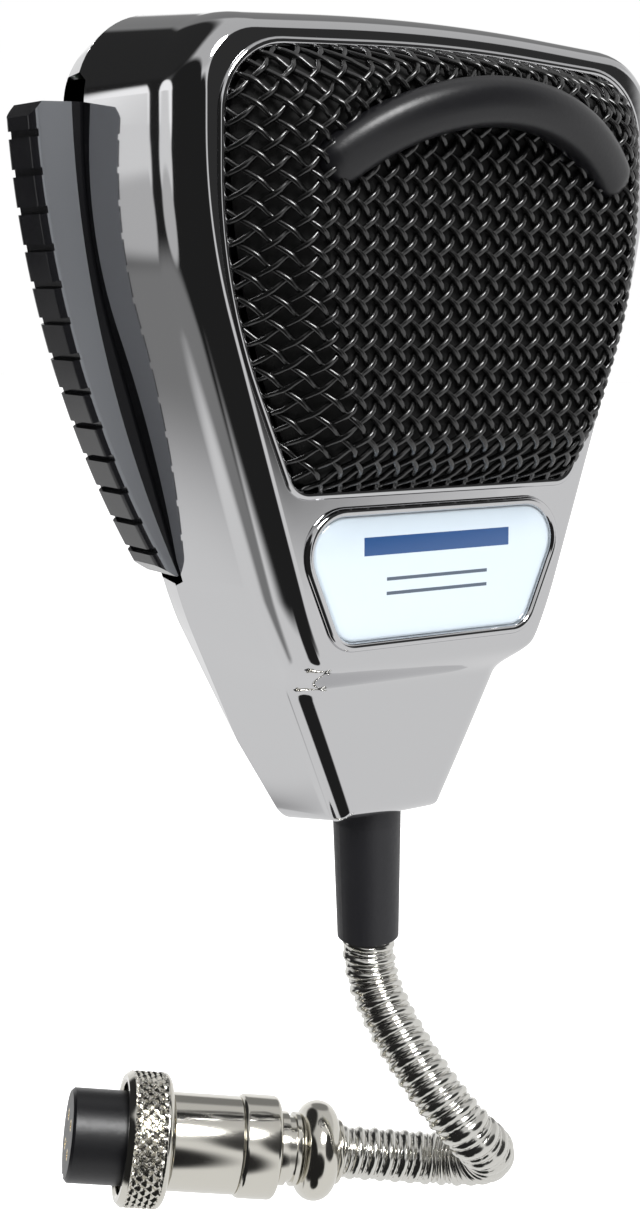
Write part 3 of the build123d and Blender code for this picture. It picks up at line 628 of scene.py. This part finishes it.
def skin_rings():
    """Rings up the side walls and over the front edge, along the body's outline."""
    upper = edge_sections(EDGE_WIDTH, EDGE_DEPTH, EDGE_STEPS)
    lower = edge_sections(THROAT_EDGE_R, THROAT_EDGE_R, EDGE_STEPS)
    y = body_outline[:, 1]
    x = body_outline[:, 0]
    weight = throat_weight(y)
    floor = np.maximum(PART_Z, back_height(y))
    floor = np.where((x < -15) & (y > SLOT_Y[0]) & (y < SLOT_Y[1]), SLOT_TOP, floor)

    def place(upper_inset, lower_inset):
        a = outline(BODY, BODY_RADII, upper_inset, line=BODY_STEPS)
        b = outline(BODY, BODY_RADII, lower_inset, line=BODY_STEPS)
        return a * (1 - weight[:, None]) + b * weight[:, None]

    rings = [np.column_stack([place(TURN_IN, TURN_IN), floor])]
    top_depth = upper[0][1] * (1 - weight) + lower[0][1] * weight
    for k in range(SIDE_STEPS + 1):
        share = k / SIDE_STEPS
        flat = place(upper[0][0] * share, lower[0][0] * share)
        top = front_height(flat[:, 0], flat[:, 1]) - top_depth
        rings.append(np.column_stack([flat, floor + (top - floor) * share]))
    for (inset_a, depth_a), (inset_b, depth_b) in list(zip(upper, lower))[1:]:
        flat = place(inset_a, inset_b)
        depth = depth_a * (1 - weight) + depth_b * weight
        rings.append(np.column_stack([flat, front_height(flat[:, 0], flat[:, 1]) - depth]))
    return rings


def tail_plate(rings):
    """The part of the sloping back that the front shell closes, below the rear shell's lower end."""
    low = [p for p in rings[0] if p[1] < TAIL_PLATE_Y]
    middle = np.mean(low, axis=0)
    low.sort(key=lambda p: math.atan2(p[1] - middle[1], p[0] - middle[0]), reverse=True)
    return low, [tuple(range(len(low)))]


def front_skin():
    """The front shell's outside: side walls, front, throat, the opening's rim and the tail plate."""
    rings = skin_rings()
    edge = rings[-1][:, :2]
    rim = outline(OPENING, OPENING_RADII)
    xs, ys = np.meshgrid(np.arange(-30, 30.1, 0.8), np.arange(-62, -34, 0.55))
    grid = np.column_stack([xs.ravel(), ys.ravel()])
    grid = grid[inside(grid, edge) & (distance(grid, edge) > 0.5)]
    flat, faces = fill([edge, rim], grid, lambda c: inside(c, edge) & ~inside(c, rim))
    face_points = np.column_stack([flat, front_height(flat[:, 0], flat[:, 1])])
    bead = []
    for k in range(9):
        a = math.pi * k / 8
        loop = outline(OPENING, OPENING_RADII, -RIM_R * math.cos(a))
        bead.append(np.column_stack([loop, np.full(len(loop), FRONT_Z + RIM_RISE * math.sin(a))]))
    inner = outline(OPENING, OPENING_RADII, 2 * RIM_R)
    bead.append(np.column_stack([inner, np.full(len(inner), FRONT_Z - 1.9)]))
    skin = merge([loft(rings), (face_points, faces), loft(bead), tail_plate(rings)])
    obj = make_object("front_skin", *skin, CHROME, "housing", sharp=50)
    weld(obj, 2e-6)
    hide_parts("front_shell")
    return obj


front_skin()

# ---- grille -----------------------------------------------------------------------------------
WEAVE_PITCH = 1.95
WIRE_R = 0.38
WAVE = 0.36
WIRE_SINK = 0.55        # the weave's middle lies this far under the dome's height
RIM_REACH = -0.35       # wires run on under the rim by this much
FEWEST = 6              # points in a wire that is kept
rim_loop = outline(OPENING, OPENING_RADII, 0.5)
plateau_loop = outline(PLATEAU, PLATEAU_RADII)
# The dome's rise over the way in from the rim to the plateau, both as shares.
RISE = ([0, 0.08, 0.16, 0.45, 0.72, 0.88, 1.0], [0, 0.17, 0.30, 0.61, 0.86, 0.97, 1.0])


def dome_height(points):
    """How far the mesh stands above the front face at each point, and how far in that is."""
    outer = distance(points, rim_loop) * np.where(inside(points, rim_loop), 1, -1)
    inner = distance(points, plateau_loop) * np.where(inside(points, plateau_loop), -1, 1)
    share = np.where(inner <= 0, 1.0, outer / np.maximum(outer + inner, 1e-6))
    rise = DOME_HEIGHT * np.interp(np.clip(share, 0, 1), *RISE)
    return np.where(outer < 0, outer * 2.0, rise), outer


def weave(direction):
    """Wires that run one way over the dome, over and under the ones that cross them."""
    way = np.array((1.0, direction)) / math.sqrt(2)
    across = np.array((-way[1], way[0]))
    parts = []
    stations = np.arange(-75, 75, WEAVE_PITCH / 3.0)
    for k in range(-28, 32):
        line = way * stations[:, None] + across * (k * WEAVE_PITCH) + np.array((0, 11.0))
        height, depth = dome_height(line)
        phase = math.pi * (stations / WEAVE_PITCH + k + (0 if direction > 0 else 1))
        wave = WAVE * np.cos(phase)
        keep = depth > RIM_REACH
        if keep.sum() < FEWEST:
            continue
        run = np.column_stack([line, FRONT_Z - WIRE_SINK + height + wave])[keep]
        parts.append(sweep(run, lambda length, angles: np.full_like(angles, WIRE_R), 6, caps=False))
    return merge(parts)


for name, direction in (("mesh_wires_a", 1), ("mesh_wires_b", -1)):
    wires = make_object(name, *weave(direction), BLACK_WIRE, "housing", sharp=80)
    if direction == 1:
        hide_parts("grille_mesh")

# ---- lip bar ----------------------------------------------------------------------------------
BAR_END = (20.4, 23.2, 6.9)
BAR_MIDDLE = (0.0, 30.4, 11.2)
BAR_R = 2.9
BAR_POWER = 2.5         # over 2 squares the section a little
BAR_FLAT = 0.93         # its height as a share of its width
BAR_AROUND = 28
CAP_TURN = math.pi / 2 * 0.97
CAP_STEPS = 8


def bar_path(count=60):
    """Points along the arch, from its left end to its right."""
    a = np.array((-BAR_END[0], BAR_END[1], BAR_END[2]))
    b = np.array(BAR_MIDDLE)
    chord_middle = a + [BAR_END[0], 0, 0]
    rise = np.linalg.norm(b - chord_middle)
    radius = (BAR_END[0] ** 2 + rise ** 2) / (2 * rise)
    toward = (b - chord_middle) / rise
    half = math.asin(BAR_END[0] / radius)
    centre = b - toward * radius
    angles = np.linspace(-half, half, count)
    across = np.array((1.0, 0, 0))
    return np.array([centre + radius * (math.sin(t) * across + math.cos(t) * toward) for t in angles])


def lip_bar():
    """A rounded bar, a little squared in section, with domed ends."""
    path = bar_path()
    path[:, 2] += FRONT_Z
    ways = np.gradient(path, axis=0)
    ways /= np.linalg.norm(ways, axis=1)[:, None]
    caps = np.linspace(CAP_TURN, 0, CAP_STEPS)
    stations = [(path[0] - ways[0] * BAR_R * math.sin(a), ways[0], math.cos(a)) for a in caps]
    stations += [(p, w, 1.0) for p, w in zip(path[1:-1], ways[1:-1])]
    stations += [(path[-1] + ways[-1] * BAR_R * math.sin(a), ways[-1], math.cos(a)) for a in caps[::-1]]
    angles = np.linspace(0, 2 * np.pi, BAR_AROUND, endpoint=False)
    c, s = np.cos(angles), np.sin(angles)
    shape = (np.abs(c) ** BAR_POWER + np.abs(s) ** BAR_POWER) ** (-1 / BAR_POWER)
    rings = []
    for point, way, size in stations:
        side = np.cross((0, 0, 1.0), way)
        side /= np.linalg.norm(side)
        lift = np.cross(way, side)
        outward = c[:, None] * side + BAR_FLAT * s[:, None] * lift
        rings.append(point + BAR_R * size * shape[:, None] * outward)
    bar = loft(rings, cap_start=True, cap_end=True)
    obj = make_object("lip_bar_body", *bar, MATTE_BLACK, "housing", sharp=60)
    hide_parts("lip_bar")


lip_bar()


# ---- nameplate --------------------------------------------------------------------------------
MOULDING_STEPS = 12
LABEL_PALE = (0.50, 0.57, 0.63)
INK_BLUE = (0.012, 0.055, 0.17, 1.0)
INK_GREY = (0.05, 0.07, 0.10, 1.0)
LABEL_DOME = (          # (inset, rise above the front)
    (0.0, -0.1), (0.15, 0.18), (0.5, 0.32), (1.2, 0.42), (2.5, 0.5), (4.5, 0.55), (6.8, 0.57),
)
LABEL_BANDS = (         # (middle, half height, half width, ink), in millimetres
    (-22.4, 1.15, 11.5, INK_BLUE),
    (-26.6, 0.22, 8.0, INK_GREY),
    (-28.4, 0.22, 8.0, INK_GREY),
)


def nameplate():
    """The bezel's half-round moulding, and the domed label inside it."""
    moulding = []
    for k in range(MOULDING_STEPS + 1):
        a = math.pi * k / MOULDING_STEPS
        loop = outline(LABEL, LABEL_RADII, -1.25 + 0.65 * (1 - math.cos(a)), least=1.2)
        moulding.append(np.column_stack([loop, np.full(len(loop), FRONT_Z - 0.05 + 0.85 * math.sin(a))]))
    bezel = make_object("nameplate_moulding", *loft(moulding), CHROME, "housing", sharp=60)
    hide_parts("nameplate_bezel")
    rings = []
    for inset, rise in LABEL_DOME:
        loop = outline(LABEL, LABEL_RADII, inset, least=0.4)
        rings.append(np.column_stack([loop, np.full(len(loop), FRONT_Z + rise)]))
    dome = loft(rings, cap_end=True)
    face = make_object("nameplate_face", *dome, label_material(), "housing", sharp=60)
    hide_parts("nameplate_label")


def label_material():
    """Pale blue-white lacquer with a plain blue bar and two thin rules: no lettering."""
    material = shader("label_print", LABEL_PALE, 0.0, 0.12, scale=300.0, wear=0.03, Coat_Weight=1.0)
    tree = material.node_tree
    axes = object_axes(tree)

    def within(axis, centre, reach):
        away = math_node(tree, "SUBTRACT", axes[axis], centre * MM)
        return math_node(tree, "LESS_THAN", math_node(tree, "ABSOLUTE", away), reach * MM)

    color = (*LABEL_PALE, 1.0)
    for middle, half, half_width, ink in LABEL_BANDS:
        band = math_node(tree, "MULTIPLY", within("Z", middle, half), within("X", 0.0, half_width))
        color = mix_node(tree, band, color, ink)
    tree.links.new(color, tree.nodes["Principled BSDF"].inputs["Base Color"])
    return material


nameplate()

# ---- stage ------------------------------------------------------------------------------------
FLOOR_HALF = 4.0
FLOOR_Z = -0.145
FLOOR_CORNERS = [(x * FLOOR_HALF, y * FLOOR_HALF, FLOOR_Z) for x, y in ((-1, -1), (1, -1), (1, 1), (-1, 1))]
FLOOR_GLOW = 0.80
DOME_GLOW = 1.0
DOME_R = 3.2


def glow(strength):
    return {"Emission_Color": (1.0, 1.0, 1.0, 1.0), "Emission_Strength": strength}


floor_mesh = bpy.data.meshes.new("floor")
floor_mesh.from_pydata(FLOOR_CORNERS, [], [(0, 1, 2, 3)])
floor = bpy.data.objects.new("floor", floor_mesh)
floor_mesh.materials.append(shader("floor", (0.90, 0.90, 0.90), 0.0, 0.9, scale=3.0, **glow(FLOOR_GLOW)))
bpy.context.collection.objects.link(floor)
floor.visible_glossy = False

# A white dome stands behind everything, and only the camera sees it.
bpy.ops.mesh.primitive_uv_sphere_add(segments=64, ring_count=32, radius=DOME_R)
dome = bpy.context.object
dome.name = "backdrop"
dome.data.materials.append(shader("backdrop", (0.0, 0.0, 0.0), 0.0, 1.0, scale=3.0, **glow(DOME_GLOW)))
for kind in ("diffuse", "glossy", "transmission", "volume_scatter", "shadow"):
    setattr(dome, "visible_" + kind, False)


ROOM_SHADE = 0.85
ROOM_LOBES = (          # (direction, cosine of its full part, cosine of its edge, shade)
    ((0.0, 0.0, 1.0), 0.55, 0.35, 0.62),
    ((-0.35, 0.70, 0.62), 0.90, 0.80, 0.03),
    ((0.50, 0.70, 0.50), 0.95, 0.90, 0.25),
    ((-0.95, 0.05, 0.0), 0.80, 0.70, 0.02),
    ((-0.62, 0.75, -0.15), 0.93, 0.90, 0.02),
    ((-0.47, 0.76, -0.45), 0.970, 0.945, 0.26),
    ((-0.33, 0.78, -0.53), 0.985, 0.965, 0.85),
    ((-0.715, 0.69, 0.12), 0.9936, 0.989, 1.3),
    ((-0.70, 0.70, 0.0), 0.9945, 0.990, 0.9),
    ((-0.68, 0.71, -0.12), 0.9960, 0.992, 0.6),
    ((-0.67, -0.70, -0.20), 0.90, 0.80, 0.02),
    ((-0.75, -0.35, -0.45), 0.95, 0.90, 0.02),
    ((-0.60, -0.25, -0.75), 0.955, 0.93, 0.02),
    ((0.35, -0.85, 0.35), 0.90, 0.84, 0.04),
    ((0.55, 0.83, -0.12), 0.94, 0.88, 1.0),
)


def world_light():
    """A pale room with round patches of light and shade, each painted over the ones before it."""
    world = bpy.data.worlds.new("studio")
    bpy.context.scene.world = world
    world.use_nodes = True
    tree = world.node_tree
    nodes, links = tree.nodes, tree.links
    background = nodes["Background"]
    coordinates = nodes.new("ShaderNodeTexCoord")

    def lobe(direction, start, end):
        """1 within start of a direction and 0 beyond end, both given as cosines."""
        dot = nodes.new("ShaderNodeVectorMath")
        dot.operation = "DOT_PRODUCT"
        dot.inputs[1].default_value = Vector(direction).normalized()
        links.new(coordinates.outputs["Generated"], dot.inputs[0])
        ramp = nodes.new("ShaderNodeMapRange")
        ramp.interpolation_type = "SMOOTHSTEP"
        ramp.inputs["From Min"].default_value = end
        ramp.inputs["From Max"].default_value = start
        links.new(dot.outputs["Value"], ramp.inputs["Value"])
        return ramp.outputs["Result"]

    color = (ROOM_SHADE, ROOM_SHADE, ROOM_SHADE, 1.0)
    for direction, start, end, shade in ROOM_LOBES:
        color = mix_node(tree, lobe(direction, start, end), color, (shade, shade, shade, 1.0))
    links.new(color, background.inputs["Color"])
    background.inputs["Strength"].default_value = 1.0


def area_light(name, place, power, size, glossy):
    """A round light that looks at the origin. glossy says whether reflections show it."""
    data = bpy.data.lights.new(name, "AREA")
    data.energy = power
    data.shape = "DISK"
    data.size = size
    obj = bpy.data.objects.new(name, data)
    obj.location = place
    obj.rotation_mode = "QUATERNION"
    obj.rotation_quaternion = (-Vector(place)).to_track_quat("-Z", "Y")
    obj.visible_glossy = glossy
    bpy.context.collection.objects.link(obj)


world_light()
area_light("overhead", (0.1, -0.2, 0.9), 3.0, 0.7, False)
area_light("side", (-0.5, -0.6, 0.4), 1.0, 0.4, False)
area_light("key", (-0.18, -0.60, 0.65), 8.0, 0.40, True)
bpy.context.scene.view_settings.view_transform = "Standard"
